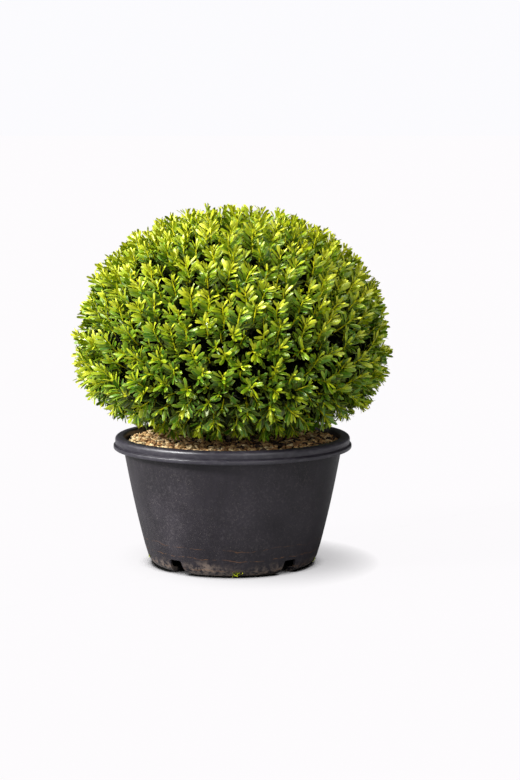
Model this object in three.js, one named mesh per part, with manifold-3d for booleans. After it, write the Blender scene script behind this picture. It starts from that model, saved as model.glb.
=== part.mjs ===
// A clipped box ball in its nursery pot, in millimetres, +Z up.
// The origin is at the middle of the pot's underside, on the surface that the pot stands on.
import * as THREE from "three";
import { mergeVertices } from "three/addons/utils/BufferGeometryUtils.js";
import Module from "manifold-3d";

// ---- Driving dimensions ----

const GAP = 0.35; // clearance between two pieces that meet

const POT = {
  height: 115,
  wallFootRadius: 74.1, // the outer wall's line carried down to the ground
  wallSlope: 0.2216, // growth of the radius for each millimetre of height
  wallBulge: 1.3, // how far the wall stands out from that line at its middle
  wallThickness: 2.25,
  footInnerRadius: 57,
  footRecess: 2.5,
  floorTop: 5,
  footCornerRadius: 12,
  innerCornerRadius: 6,
  segments: 48,
};

const RIM = {
  innerRadius: 96.2,
  bandRadius: 104.5,
  lipRadius: 106,
  skirtBottom: 103.8,
  lipTop: 107.3,
  thickness: 2.4,
  browRadius: 4.6, // the rounding from the band to the top
  edgeRadius: 2, // the rounding from the top to the inside
  foot: 104.8, // where the rim sits on the wall
};

// Four notches through the foot of the wall let the water out.
const NOTCH = {
  bearings: [40.5, 139.5, -139.5, -40.5], // degrees round from the front
  height: 13,
  topHalfWidth: 6.2,
  footHalfWidth: 8.7,
  innerRadius: 60,
};

const ROOT_BALL = { top: 100, bottomRadius: 59, chamferHeight: 13 };

const MULCH = { edgeTop: 106.6, middleTop: 109.4, bumpHeight: 0.9, rings: 6, segments: 36 };

const STEM = {
  top: new THREE.Vector3(-4, 5, 152),
  footRadius: 6.4,
  flareRadius: 3.2, // added at the foot
  tipRadius: 3.1,
  sides: 12,
  steps: 7,
};

const BOUGHS = {
  count: 7,
  firstHeight: 113,
  lastHeight: 141,
  length: 58,
  footRadius: 3.3,
  tipRadius: 1.7,
  lowestRise: 24, // degrees above level
  highestRise: 58,
  sides: 8,
  steps: 5,
};

const CROWN = {
  middle: 195, // height of the widest level
  radius: 139.5,
  above: 124.5, // from the widest level to the top
  below: 79, // from the widest level to the underside
  roundnessAbove: 2.1, // 2 is an ellipse, more is squarer
  roundnessBelow: 2.8,
  detail: 11,
  tufts: 180,
  tuftHeight: 3.4,
  tuftSpread: 0.105, // radians
};

const GOLDEN_ANGLE = Math.PI * (3 - Math.sqrt(5));

// ---- Solids ----

const wasm = await Module();
wasm.setup();

// A closed geometry as a manifold-3d solid.
function solidOf(geometry) {
  const bare = geometry.index ? geometry.toNonIndexed() : geometry.clone();
  for (const name of ["normal", "uv"]) bare.deleteAttribute(name);
  const merged = mergeVertices(bare, 1e-3);
  return new wasm.Manifold(
    new wasm.Mesh({
      numProp: 3,
      vertProperties: merged.attributes.position.array,
      triVerts: new Uint32Array(merged.index.array),
    }),
  );
}

// A manifold-3d solid as a geometry again.
function geometryOf(solid) {
  const { numProp, vertProperties, triVerts } = solid.getMesh();
  const positions = new Float32Array((vertProperties.length / numProp) * 3);
  for (let i = 0; i < positions.length / 3; i++)
    positions.set(vertProperties.subarray(i * numProp, i * numProp + 3), i * 3);
  const geometry = new THREE.BufferGeometry()
    .setAttribute("position", new THREE.BufferAttribute(positions, 3))
    .setIndex(new THREE.BufferAttribute(triVerts, 1));
  geometry.computeVertexNormals();
  return geometry;
}

function mesh(name, geometry, color, roughness) {
  const material = new THREE.MeshStandardMaterial({ color, roughness, metalness: 0 });
  const made = new THREE.Mesh(geometry, material);
  made.name = name;
  return made;
}

// A closed profile of [radius, height] points turned round the Z axis.
function turned(profile, segments) {
  const points = profile.map(([radius, height]) => new THREE.Vector2(radius, height));
  return new THREE.LatheGeometry(points, segments).rotateX(Math.PI / 2);
}

// Points of an arc in the profile's plane, its angles in degrees from the outward direction.
function arc(radius, height, size, from, to, steps) {
  return Array.from({ length: steps + 1 }, (_, i) => {
    const angle = THREE.MathUtils.degToRad(from + ((to - from) * i) / steps);
    return [radius + size * Math.cos(angle), height + size * Math.sin(angle)];
  });
}

// ---- Pot ----

const wallLine = (z) => POT.wallFootRadius + POT.wallSlope * z;
const wallOutside = (z) => wallLine(z) + POT.wallBulge * Math.sin((Math.PI * z) / RIM.foot);
const wallInside = (z) => wallOutside(z) - POT.wallThickness;
const wallTilt = THREE.MathUtils.radToDeg(Math.atan(POT.wallSlope));

// Where a round corner of this size sits so that it touches a level floor and the sloping wall.
function cornerRadiusAt(wallRadiusAtFloor, size) {
  const tilt = THREE.MathUtils.degToRad(wallTilt);
  return wallRadiusAtFloor - size * (1 / Math.cos(tilt) - Math.tan(tilt));
}

// The floor and wall, up to where the rim sits on the wall.
function potProfile() {
  const footCorner = cornerRadiusAt(wallOutside(0), POT.footCornerRadius);
  const innerCorner = cornerRadiusAt(wallInside(POT.floorTop), POT.innerCornerRadius);
  const wallTop = RIM.foot - GAP;
  const wallMiddle = RIM.foot / 2;
  return [
    [0, POT.footRecess],
    [POT.footInnerRadius, POT.footRecess],
    [POT.footInnerRadius + POT.footRecess, 0],
    ...arc(footCorner, POT.footCornerRadius, POT.footCornerRadius, -90, -wallTilt, 4),
    [wallOutside(wallMiddle), wallMiddle],
    [wallOutside(wallTop), wallTop],
    [wallInside(wallTop), wallTop],
    [wallInside(wallMiddle), wallMiddle],
    ...arc(
      innerCorner,
      POT.floorTop + POT.innerCornerRadius,
      POT.innerCornerRadius,
      -wallTilt,
      -90,
      3,
    ),
    [0, POT.floorTop],
  ];
}

// The rim carries the wall on, turns over at the top and hangs down outside it as a lip.
function rimProfile() {
  const brow = RIM.browRadius;
  const edge = RIM.edgeRadius;
  const underRim = POT.height - RIM.thickness;
  const skirtInside = RIM.lipRadius - RIM.thickness;
  return [
    [wallInside(RIM.foot), RIM.foot],
    [wallOutside(RIM.foot), RIM.foot],
    [wallOutside(underRim), underRim],
    [skirtInside, underRim],
    [skirtInside, RIM.skirtBottom + 0.8],
    [skirtInside + 0.7, RIM.skirtBottom],
    ...arc(RIM.lipRadius - 1.1, RIM.skirtBottom + 1.1, 1.1, -90, 0, 2),
    [RIM.lipRadius, RIM.lipTop - 0.9],
    [RIM.bandRadius, RIM.lipTop],
    ...arc(RIM.bandRadius - brow, POT.height - brow, brow, 0, 90, 3),
    ...arc(RIM.innerRadius + edge, POT.height - edge, edge, 90, 180, 3),
    [wallInside(RIM.foot), RIM.foot],
  ];
}

// A tapering wedge that cuts one notch, pointing outwards at a bearing from the front.
function notchCutter(bearing) {
  const outline = new THREE.Shape([
    new THREE.Vector2(-NOTCH.footHalfWidth, -1),
    new THREE.Vector2(NOTCH.footHalfWidth, -1),
    new THREE.Vector2(NOTCH.topHalfWidth, NOTCH.height),
    new THREE.Vector2(-NOTCH.topHalfWidth, NOTCH.height),
  ]);
  const depth = wallOutside(NOTCH.height) + 5 - NOTCH.innerRadius;
  return new THREE.ExtrudeGeometry(outline, { depth, bevelEnabled: false })
    .translate(0, 0, NOTCH.innerRadius)
    .rotateX(Math.PI / 2)
    .rotateZ(THREE.MathUtils.degToRad(bearing));
}

function pot() {
  const shell = solidOf(turned(potProfile(), POT.segments));
  const cut = NOTCH.bearings.reduce(
    (solid, bearing) => solid.subtract(solidOf(notchCutter(bearing))),
    shell,
  );
  return mesh("pot", geometryOf(cut), 0x35353a, 0.55);
}

function potRim() {
  return mesh("pot_rim", turned(rimProfile(), POT.segments), 0x35353a, 0.55);
}

// ---- Root ball and mulch ----

// What fills the pot keeps inside the wall's straight line.
const fillRadius = (z) => wallLine(z) - POT.wallThickness - GAP;

function rootBall() {
  const bottom = POT.floorTop + GAP;
  const chamferTop = bottom + ROOT_BALL.chamferHeight;
  const profile = [
    [0, bottom],
    [ROOT_BALL.bottomRadius, bottom],
    [fillRadius(chamferTop) - 1.5, chamferTop - 2],
    [fillRadius(chamferTop), chamferTop],
    [fillRadius(ROOT_BALL.top), ROOT_BALL.top],
    [0, ROOT_BALL.top],
  ];
  return mesh("root_ball", turned(profile, 40), 0x2a1d14, 0.95);
}

// Low uneven waves, between -1 and 1.
function waves(x, y, size) {
  const a = x / size;
  const b = y / size;
  return (
    0.5 * Math.sin(a + 1.7 * Math.sin(b * 0.9)) +
    0.3 * Math.sin(2.3 * b - 0.8 * a + 1.1) +
    0.2 * Math.sin(3.9 * a + 3.1 * b)
  );
}

function mulch(limbs) {
  const bottom = ROOT_BALL.top + GAP;
  const edgeRadius = fillRadius(bottom) - 0.4;
  const profile = [[0, bottom], [edgeRadius, bottom]];
  for (let ring = 0; ring <= MULCH.rings; ring++) {
    const share = 1 - ring / MULCH.rings;
    const height = MULCH.middleTop + (MULCH.edgeTop - MULCH.middleTop) * share ** 2;
    profile.push([edgeRadius * share, height]);
  }
  const geometry = turned(profile, MULCH.segments);
  const position = geometry.attributes.position;
  for (let i = 0; i < position.count; i++) {
    if (position.getZ(i) <= bottom + 1) continue;
    const bump = MULCH.bumpHeight * waves(position.getX(i), position.getY(i), 7);
    position.setZ(i, position.getZ(i) + bump);
  }
  const cut = limbs.reduce((solid, limb) => solid.subtract(limb), solidOf(geometry));
  return mesh("bark_mulch", geometryOf(cut), 0xa08055, 0.9);
}

// ---- Stem and boughs ----

// A tapering limb along a curve, round in section, with flat ends.
function limb(curve, radiusAt, sides, steps, grown = 0) {
  const geometry = new THREE.CylinderGeometry(1, 1, 1, sides, steps);
  const frames = curve.computeFrenetFrames(steps, false);
  const position = geometry.attributes.position;
  for (let i = 0; i < position.count; i++) {
    const share = 0.5 - position.getY(i);
    const step = Math.round(share * steps);
    const end = step === 0 ? -grown : step === steps ? grown : 0;
    const radius = radiusAt(share) + grown;
    const centre = curve
      .getPointAt(step / steps)
      .addScaledVector(frames.tangents[step], end)
      .addScaledVector(frames.normals[step], position.getX(i) * radius)
      .addScaledVector(frames.binormals[step], position.getZ(i) * radius);
    position.setXYZ(i, centre.x, centre.y, centre.z);
  }
  return geometry;
}

const groundLevel = ROOT_BALL.top + GAP;
const stemFoot = new THREE.Vector3(0, 0, groundLevel - 3);
const stemCurve = new THREE.CatmullRomCurve3([
  stemFoot,
  new THREE.Vector3(0.4, -0.3, 108),
  new THREE.Vector3(1.6, 0.8, 128),
  STEM.top,
]);

function stemRadius(share) {
  const taper = THREE.MathUtils.lerp(STEM.footRadius, STEM.tipRadius, share);
  return taper + STEM.flareRadius * Math.exp(-share * 9);
}

function stemSolid(grown = 0) {
  return solidOf(limb(stemCurve, stemRadius, STEM.sides, STEM.steps, grown));
}

// The stem that shows is cut level with the ground.
function stem() {
  const solid = stemSolid().trimByPlane([0, 0, 1], groundLevel);
  return mesh("stem", geometryOf(solid), 0x6b5a45, 0.85);
}

// Each bough leaves the stem a golden angle round from the last, rises, and turns up.
function boughCurve(index) {
  const share = index / (BOUGHS.count - 1);
  const bearing = 0.6 + index * GOLDEN_ANGLE;
  const height = THREE.MathUtils.lerp(BOUGHS.firstHeight, BOUGHS.lastHeight, share);
  const rise = THREE.MathUtils.degToRad(
    THREE.MathUtils.lerp(BOUGHS.lowestRise, BOUGHS.highestRise, share),
  );
  const stemShare = (height - stemFoot.z) / (STEM.top.z - stemFoot.z);
  const start = stemCurve.getPointAt(stemShare);
  const outwards = new THREE.Vector3(Math.cos(bearing), Math.sin(bearing), 0);
  const along = (distance, lift) =>
    start
      .clone()
      .addScaledVector(outwards, distance * Math.cos(rise + lift))
      .add(new THREE.Vector3(0, 0, distance * Math.sin(rise + lift)));
  return new THREE.CatmullRomCurve3([
    start.clone().addScaledVector(outwards, 1.5),
    along(BOUGHS.length * 0.35, 0),
    along(BOUGHS.length * 0.7, 0.08),
    along(BOUGHS.length, 0.2),
  ]);
}

const boughRadius = (share) =>
  THREE.MathUtils.lerp(BOUGHS.footRadius, BOUGHS.tipRadius, share);

function boughSolid(index, grown = 0) {
  return solidOf(limb(boughCurve(index), boughRadius, BOUGHS.sides, BOUGHS.steps, grown));
}

// A bough with its foot shaped to the stem, and clear of the boughs made before it.
function bough(index) {
  let solid = boughSolid(index).subtract(stemSolid(GAP));
  for (let other = 0; other < index; other++)
    solid = solid.subtract(boughSolid(other, GAP));
  return mesh(`bough_${index + 1}`, geometryOf(solid), 0x6b5a45, 0.85);
}

// ---- Crown ----

// Tufts of shoots stand evenly over the crown; a direction near one bulges outwards.
const tuftDirections = Array.from({ length: CROWN.tufts }, (_, i) => {
  const z = 1 - (2 * (i + 0.5)) / CROWN.tufts;
  const across = Math.sqrt(1 - z * z);
  const turn = i * GOLDEN_ANGLE;
  return new THREE.Vector3(across * Math.cos(turn), across * Math.sin(turn), z);
});

function tuftBulge(direction) {
  let most = 0;
  for (const tuft of tuftDirections) {
    const angle = direction.angleTo(tuft);
    most = Math.max(most, Math.exp(-((angle / CROWN.tuftSpread) ** 2)));
  }
  return most * CROWN.tuftHeight;
}

// Distance from the crown's middle to its clipped surface in a direction.
function crownRadius(direction) {
  const above = direction.z >= 0;
  const power = above ? CROWN.roundnessAbove : CROWN.roundnessBelow;
  const depth = above ? CROWN.above : CROWN.below;
  const across = Math.hypot(direction.x, direction.y) / CROWN.radius;
  const clipped = (across ** power + (Math.abs(direction.z) / depth) ** power) ** (-1 / power);
  return clipped - CROWN.tuftHeight / 2 + tuftBulge(direction);
}

function crown(limbs) {
  const geometry = new THREE.IcosahedronGeometry(1, CROWN.detail);
  const position = geometry.attributes.position;
  const direction = new THREE.Vector3();
  for (let i = 0; i < position.count; i++) {
    direction.fromBufferAttribute(position, i).normalize();
    direction.multiplyScalar(crownRadius(direction));
    position.setXYZ(i, direction.x, direction.y, direction.z + CROWN.middle);
  }
  const cut = limbs.reduce((solid, limbSolid) => solid.subtract(limbSolid), solidOf(geometry));
  return mesh("crown", geometryOf(cut), 0x6f9a1e, 0.6);
}

// ---- Assembly ----

const boughNumbers = Array.from({ length: BOUGHS.count }, (_, i) => i);
const limbRoom = [stemSolid(GAP), ...boughNumbers.map((index) => boughSolid(index, GAP))];

const plant = new THREE.Group();
plant.add(pot(), potRim(), rootBall(), mulch(limbRoom));
plant.add(stem());
plant.add(...boughNumbers.map(bough));
plant.add(crown(limbRoom));

export default plant;
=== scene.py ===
"""The looks of a clipped box ball in its nursery pot, in metres, +Z up, round the CAD frame.

The crown's mass is replaced by twigs, shoots and leaves that grow on from the stem and boughs by a
seeded branching rule. The pot, compost, mulch, stem and boughs get finer meshes.
"""

from collections import namedtuple
from dataclasses import dataclass
from math import atan, cos, degrees, hypot, pi, radians, sin, sqrt

import bpy
import numpy as np
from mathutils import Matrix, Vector, noise
from numpy.linalg import norm, svd


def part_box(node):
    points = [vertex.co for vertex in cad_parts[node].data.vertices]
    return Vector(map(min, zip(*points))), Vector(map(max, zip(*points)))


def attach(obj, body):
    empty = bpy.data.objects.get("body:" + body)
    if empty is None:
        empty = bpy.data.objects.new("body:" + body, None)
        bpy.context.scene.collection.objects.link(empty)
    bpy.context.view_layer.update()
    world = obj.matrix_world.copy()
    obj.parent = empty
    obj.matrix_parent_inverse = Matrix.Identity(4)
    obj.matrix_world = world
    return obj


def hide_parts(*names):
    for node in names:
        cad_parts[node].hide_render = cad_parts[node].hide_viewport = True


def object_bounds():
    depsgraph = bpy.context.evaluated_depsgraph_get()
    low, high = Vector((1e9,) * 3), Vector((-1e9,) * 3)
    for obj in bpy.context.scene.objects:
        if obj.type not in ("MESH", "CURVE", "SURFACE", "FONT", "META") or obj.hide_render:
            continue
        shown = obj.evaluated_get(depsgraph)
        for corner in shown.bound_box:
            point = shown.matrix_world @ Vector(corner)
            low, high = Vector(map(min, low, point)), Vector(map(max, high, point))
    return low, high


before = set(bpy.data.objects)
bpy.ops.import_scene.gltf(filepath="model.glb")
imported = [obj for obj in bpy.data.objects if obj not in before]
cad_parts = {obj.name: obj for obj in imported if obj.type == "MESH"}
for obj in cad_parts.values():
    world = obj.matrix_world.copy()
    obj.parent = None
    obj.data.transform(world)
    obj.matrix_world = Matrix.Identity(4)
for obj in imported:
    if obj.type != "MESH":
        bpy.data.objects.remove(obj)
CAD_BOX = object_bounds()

MM = 0.001
UP = np.array((0.0, 0.0, 1.0))
rng = np.random.default_rng(20117)

# ---- Sizes taken from the frame ----

RIM_LOW, RIM_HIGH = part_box("pot_rim")
MULCH_LOW, MULCH_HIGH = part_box("bark_mulch")
BALL_LOW, BALL_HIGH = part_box("root_ball")
CROWN_LOW, CROWN_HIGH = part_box("crown")
PLANT_TOP = CAD_BOX[1].z

# ---- Driving dimensions of the looks ----

CROWN_RADIUS = CROWN_HIGH.x - 3.0 * MM
CROWN_MIDDLE = PLANT_TOP - 126 * MM  # height of the widest level
CROWN_INSET = 3.5 * MM  # from the solid's top or bottom in to the clipped surface
CROWN_ABOVE = PLANT_TOP - CROWN_MIDDLE - CROWN_INSET
CROWN_BELOW = CROWN_MIDDLE - CROWN_LOW.z - CROWN_INSET
ROUNDNESS_ABOVE = 2.1  # 2 is an ellipse, and more is squarer
ROUNDNESS_BELOW = 2.7
CROWN_HEART = np.array((-0.003, 0.003, 0.150))  # where the branches spread from

WALL_SLOPE = 0.2216  # outwards for each unit of height
WALL_FOOT_RADIUS = 74.1 * MM  # where the wall's line meets the ground
WALL_THICKNESS = 2.25 * MM
WALL_BULGE = 1.3 * MM  # the wall's middle stands out from that line
FOOT_CORNER = 12 * MM  # between the wall and the underside

TINY = 1e-9


# ---- Small helpers ----


def unit(v, shortest=1e-12):
    """Vectors scaled to length 1."""
    return v / np.maximum(norm(v, axis=-1, keepdims=True), shortest)


def spread(low, high, size=None):
    """Seeded random numbers between low and high."""
    return rng.uniform(low, high, size)


def smooth(mesh):
    """Shades all of a mesh's faces smoothly."""
    mesh.polygons.foreach_set("use_smooth", np.full(len(mesh.polygons), True))


def linked(name, data):
    """A new object in the scene."""
    made = bpy.data.objects.new(name, data)
    bpy.context.scene.collection.objects.link(made)
    return made


def mesh_piece(name, verts, faces, material, slot, replaced=(), pale=None):
    """A joined mesh from arrays, with one face a row. pale says how far each vertex's colour goes
    to the material's pale one."""
    mesh = bpy.data.meshes.new(name)
    corners = faces.shape[1]
    mesh.vertices.add(len(verts))
    mesh.vertices.foreach_set("co", np.ascontiguousarray(verts, np.float32).ravel())
    mesh.loops.add(faces.size)
    mesh.loops.foreach_set("vertex_index", np.ascontiguousarray(faces, np.int32).ravel())
    mesh.polygons.add(len(faces))
    mesh.polygons.foreach_set("loop_start", np.arange(0, faces.size, corners, dtype=np.int32))
    smooth(mesh)
    if pale is not None:
        values = mesh.attributes.new("pale", "FLOAT", "POINT")
        values.data.foreach_set("value", np.ascontiguousarray(pale, np.float32))
    mesh.update(calc_edges=True)
    mesh.materials.append(material)
    dressed(linked(name, mesh), replaced)


def dressed(piece, replaced=()):
    """A piece riding on the root body. The CAD nodes that it stands for are hidden."""
    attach(piece, "root")
    if replaced:
        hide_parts(*replaced)


def joined(parts):
    """Several (verts, faces) pairs as one. Anything more that each holds is joined too."""
    starts = np.cumsum([0] + [len(part[0]) for part in parts[:-1]])
    verts = np.concatenate([part[0] for part in parts])
    faces = np.concatenate([part[1] + start for part, start in zip(parts, starts)])
    more = [np.concatenate(column) for column in list(zip(*parts))[2:]]
    return verts, faces, *more


# ---- Materials ----


class Nodes:
    """Builds one material's node tree with short calls."""

    def __init__(self, name):
        self.material = bpy.data.materials.new(name)
        self.material.use_nodes = True
        self.tree = self.material.node_tree
        self.shader = self.tree.nodes["Principled BSDF"]
        self.place = self.tree.nodes.new("ShaderNodeTexCoord").outputs["Object"]

    def add(self, kind, inputs=None, **settings):
        """A node with these settings. inputs says what feeds each input, by its name or number."""
        node = self.tree.nodes.new("ShaderNode" + kind)
        for key, value in settings.items():
            setattr(node, key, value)
        for key, value in (inputs or {}).items():
            self.feed(node.inputs[key], value)
        return node

    def feed(self, socket, value):
        if isinstance(value, bpy.types.NodeSocket):
            self.tree.links.new(value, socket)
        else:
            socket.default_value = value

    def stretched(self, scale):
        """The piece's coordinates, stretched on each axis."""
        return self.add("Mapping", {"Vector": self.place, "Scale": scale}).outputs["Vector"]

    def noise(self, scale, detail=3.0, roughness=0.55, place=None):
        place = place or self.place
        inputs = {"Vector": place, "Scale": scale, "Detail": detail, "Roughness": roughness}
        return self.add("TexNoise", inputs).outputs["Fac"]

    def ramp(self, value, low, high, to_low=0.0, to_high=1.0):
        """value between low and high, carried to between to_low and to_high."""
        inputs = dict(enumerate((value, low, high, to_low, to_high)))
        return self.add("MapRange", inputs, clamp=True).outputs["Result"]

    def maths(self, operation, a, b=0.0):
        return self.add("Math", {0: a, 1: b}, operation=operation).outputs[0]

    def times(self, a, b):
        return self.maths("MULTIPLY", a, b)

    def plus(self, a, b):
        return self.maths("ADD", a, b)

    def mix(self, share, a, b):
        """From colour a to colour b, which are the node's inputs 6 and 7."""
        return self.add("Mix", {0: share, 6: a, 7: b}, data_type="RGBA").outputs[2]

    def axis(self, name):
        """A place's X, Y or Z."""
        return self.add("SeparateXYZ", {0: self.place}).outputs[name]

    def bump(self, value, distance, strength=1.0):
        inputs = {"Height": value, "Distance": distance, "Strength": strength}
        self.feed(self.shader.inputs["Normal"], self.add("Bump", inputs).outputs["Normal"])

    def colour(self, value):
        self.feed(self.shader.inputs["Base Color"], value)

    def roughness(self, value):
        self.feed(self.shader.inputs["Roughness"], value)

    def set(self, **values):
        for key, value in values.items():
            self.shader.inputs[key.replace("_", " ")].default_value = value


def rgb(red, green, blue):
    """A colour given as it shows on a screen, from 0 to 255, as linear light."""
    shown = np.array((red, green, blue)) / 255
    linear = np.where(shown <= 0.04045, shown / 12.92, ((shown + 0.055) / 1.055) ** 2.4)
    return (*linear.tolist(), 1.0)


# pale yellow of the leaves' edges: partly their own paler margin, partly painted highlight
PALE_EDGE_AND_HIGHLIGHT = rgb(214, 218, 60)
LEAF_SHEEN = (1.0, 1.0, 0.78, 1.0)  # highlights on wax are a little yellow


def leaf_material(name, deep, light, gloss):
    """Waxy leaf. The colour wanders a little between deep and light from leaf to leaf, and goes
    towards pale along the margins, the midrib and the stalk: partly the leaf's own paler edge,
    partly a painted highlight where the rolled margins catch the light."""
    m = Nodes(name)
    roughness = 0.75 - 0.6 * gloss
    patches = m.ramp(m.noise(95.0, 2.0), 0.36, 0.64)
    pale = m.add("Attribute", attribute_name="pale").outputs["Fac"]
    margin_and_highlight = m.ramp(pale, 0.5, 1.0, 0.0, 0.8)
    most_pale = min(0.5, 1.1 * gloss**2)  # the dark tones, which stand for leaves in shade, get hardly any painted highlight
    edge = m.mix(most_pale, light, PALE_EDGE_AND_HIGHLIGHT)
    m.colour(m.mix(margin_and_highlight, m.mix(patches, deep, light), edge))
    m.roughness(m.ramp(m.noise(420.0, 2.0), 0.3, 0.7, roughness - 0.06, roughness + 0.08))
    m.set(Specular_IOR_Level=gloss, Specular_Tint=LEAF_SHEEN)
    return m.material


def limb_material(name, deep, light, grain):
    """Bark with streaks that run up the limb. grain is how fine they are."""
    m = Nodes(name)
    streaks = m.noise(grain, 5.0, 0.65, m.stretched((1.0, 1.0, 0.35)))
    m.colour(m.mix(m.ramp(streaks, 0.35, 0.65), deep, light))
    m.roughness(m.ramp(streaks, 0.3, 0.7, 0.75, 0.9))
    m.bump(streaks, 0.6 * MM, 0.6)
    return m.material


def shoot_material():
    """The yellow-green stalk of this year's growth."""
    m = Nodes("young_shoot")
    patches = m.ramp(m.noise(160.0), 0.35, 0.65)
    m.colour(m.mix(patches, rgb(196, 200, 4), rgb(232, 222, 20)))
    m.roughness(m.ramp(m.noise(300.0), 0.3, 0.7, 0.4, 0.55))
    return m.material


def blotches(m, scale, low, high, detail=4.0, place=None):
    """Patches of a noise, from 0 below low to 1 above high."""
    return m.ramp(m.noise(scale, detail, 0.6, place), low, high)


def dusted(m, plastic, fine, broad, most, strength, dust):
    """Plastic under a fine dust, thicker on some broad areas than on others."""
    area = m.ramp(broad, 0.4, 0.7, 0.1, most)
    grains = m.times(m.ramp(fine, 0.5, 0.72), area)
    return m.mix(m.times(grains, strength), plastic, dust)


def moulded_surface(m, fine, broad, smoothest, roughest, relief):
    """A satin finish, uneven in gloss, with slight waves and a fine grain."""
    m.roughness(m.ramp(m.plus(fine, broad), 0.7, 1.3, smoothest, roughest))
    waves = m.noise(9.0, 2.0)
    m.bump(m.plus(m.times(fine, 0.35), waves), 0.35 * MM, relief)


def rim_material():
    """The wall's charcoal plastic, worn glossier by hands, and painted a little lighter than the
    wall as painted light on the band.
    """
    m = Nodes("rim_plastic")
    broad = m.noise(26.0, 4.0)
    fine = m.noise(420.0, 5.0, 0.7)
    scuffs = blotches(m, 420.0, 0.5, 0.8, place=m.stretched((0.35, 0.35, 1.0)))
    # painted light: a lighter copy of the wall's charcoal, for the light that the rim's band
    # catches
    plastic = m.mix(broad, rgb(28, 25, 33), rgb(41, 37, 48))
    plastic = dusted(m, plastic, fine, broad, 0.5, 0.3, rgb(126, 119, 108))
    m.colour(m.mix(m.times(scuffs, 0.22), plastic, rgb(120, 118, 122)))
    moulded_surface(m, fine, broad, 0.34, 0.48, 0.4)
    m.set(Specular_IOR_Level=0.65)
    return m.material


def streaked_plastic(m, fine, broad):
    """Charcoal with streaks down the wall, lighter patches, dust and pale specks."""
    streaks = blotches(m, 75.0, 0.3, 0.7, place=m.stretched((1.0, 1.0, 0.12)))
    plastic = m.mix(streaks, rgb(21, 18, 23), rgb(35, 31, 37))
    plastic = m.mix(blotches(m, 14.0, 0.46, 0.66, 3.0), plastic, rgb(43, 39, 45))
    plastic = dusted(m, plastic, fine, broad, 0.6, 0.4, rgb(118, 111, 112))
    specks = m.times(blotches(m, 1300.0, 0.62, 0.68), blotches(m, 60.0, 0.4, 0.6))
    return m.mix(m.times(specks, 0.4), plastic, rgb(140, 132, 122))


def soiled(m, plastic, z, broad):
    """Splashed soil, up to a height that wanders round the foot."""
    wandering = m.plus(z, m.ramp(broad, 0.3, 0.7, -5 * MM, 5 * MM))
    low = m.ramp(wandering, 3 * MM, 13 * MM, 1.0, 0.0)
    soil = m.times(low, blotches(m, 240.0, 0.42, 0.6, 5.0))
    return m.mix(m.times(soil, 0.8), plastic, rgb(120, 106, 96))


# height, how far it wanders, half its breadth, how strong
TIDE_LINES = (
    (25.5 * MM, 2.6 * MM, 0.4 * MM, 0.42),
    (16.5 * MM, 2.0 * MM, 0.45 * MM, 0.6),
    (6.0 * MM, 1.6 * MM, 0.6 * MM, 0.5),
)


def with_tide_lines(m, plastic, z):
    """Broken rusty lines where water has stood."""
    for level, wander, breadth, strength in TIDE_LINES:
        wave = m.ramp(m.noise(38.0, 4.0), 0.3, 0.7, -wander, wander)
        away = m.maths("ABSOLUTE", m.maths("SUBTRACT", m.plus(z, wave), level))
        near = m.ramp(away, 0.0, breadth, 1.0, 0.0)
        line = m.times(near, blotches(m, 120.0, 0.42, 0.62))
        plastic = m.mix(m.times(line, strength), plastic, rgb(134, 92, 52))
    return plastic


def wall_material():
    """Scuffed and dusty charcoal plastic, with tide lines and dirt low down. Inside the notches it
    is painted near black, as painted shade in the recesses."""
    m = Nodes("pot_plastic")
    z = m.axis("Z")
    broad = m.noise(26.0, 4.0)
    fine = m.noise(420.0, 5.0, 0.7)
    plastic = soiled(m, streaked_plastic(m, fine, broad), z, broad)
    plastic = with_tide_lines(m, plastic, z)
    # painted shade: the notches' cut faces, low down inside the wall's line, go near black
    inside = m.ramp(depth_in_wall(m, z), 0.4 * MM, 1.2 * MM)
    inside = m.times(inside, m.ramp(z, 16 * MM, 17 * MM, 1.0, 0.0))
    m.colour(m.mix(inside, plastic, rgb(4, 3, 3)))
    moulded_surface(m, fine, broad, 0.42, 0.6, 0.5)
    m.set(Specular_IOR_Level=0.35)
    return m.material


def depth_in_wall(m, z):
    """How far a place of the pot lies inside the wall's outer line."""
    squares = [m.times(m.axis(name), m.axis(name)) for name in "XY"]
    radius = m.maths("SQRT", m.plus(*squares))
    line = m.plus(m.times(z, WALL_SLOPE), WALL_FOOT_RADIUS)
    below_corner = m.ramp(z, 0.0, FOOT_CORNER, FOOT_CORNER, 0.0)
    return m.maths("SUBTRACT", m.maths("SUBTRACT", line, below_corner), radius)


def chip_material(name, deep, light):
    """Dry bark: grained, with dark crevices."""
    m = Nodes(name)
    grain = m.noise(330.0, 5.0, 0.7)
    crevices = blotches(m, 900.0, 0.3, 0.42)
    faces = m.mix(m.ramp(grain, 0.32, 0.68), deep, light)
    m.colour(m.mix(crevices, rgb(46, 32, 20), faces))
    m.roughness(m.ramp(grain, 0.3, 0.7, 0.8, 0.95))
    m.bump(grain, 0.5 * MM, 0.8)
    return m.material


def compost_material(name, deep, light):
    """Crumbs of soil or bark dust, quite matt."""
    m = Nodes(name)
    crumbs = m.noise(260.0, 6.0, 0.75)
    m.colour(m.mix(m.ramp(crumbs, 0.4, 0.62), deep, light))
    m.roughness(m.ramp(crumbs, 0.3, 0.7, 0.9, 1.0))
    m.bump(crumbs, 1.5 * MM, 1.0)
    return m.material


# ---- Leaf outlines ----


# one leaf's shape: length 1 along Y, its upper side towards +Z
Leaf = namedtuple("Leaf", "verts faces pale")

# Obovate blades on a short stalk: (share of the length, half-width beside the widest). The plainer
# ones are for leaves that hide under others.
BLADE = ((0.18, 0.3), (0.56, 0.94), (0.88, 0.84))
BLADE_PLAIN = ((0.2, 0.32), (0.58, 0.98), (0.88, 0.74))
BLADE_COARSE = ((0.3, 0.6), (0.75, 0.95))


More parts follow.
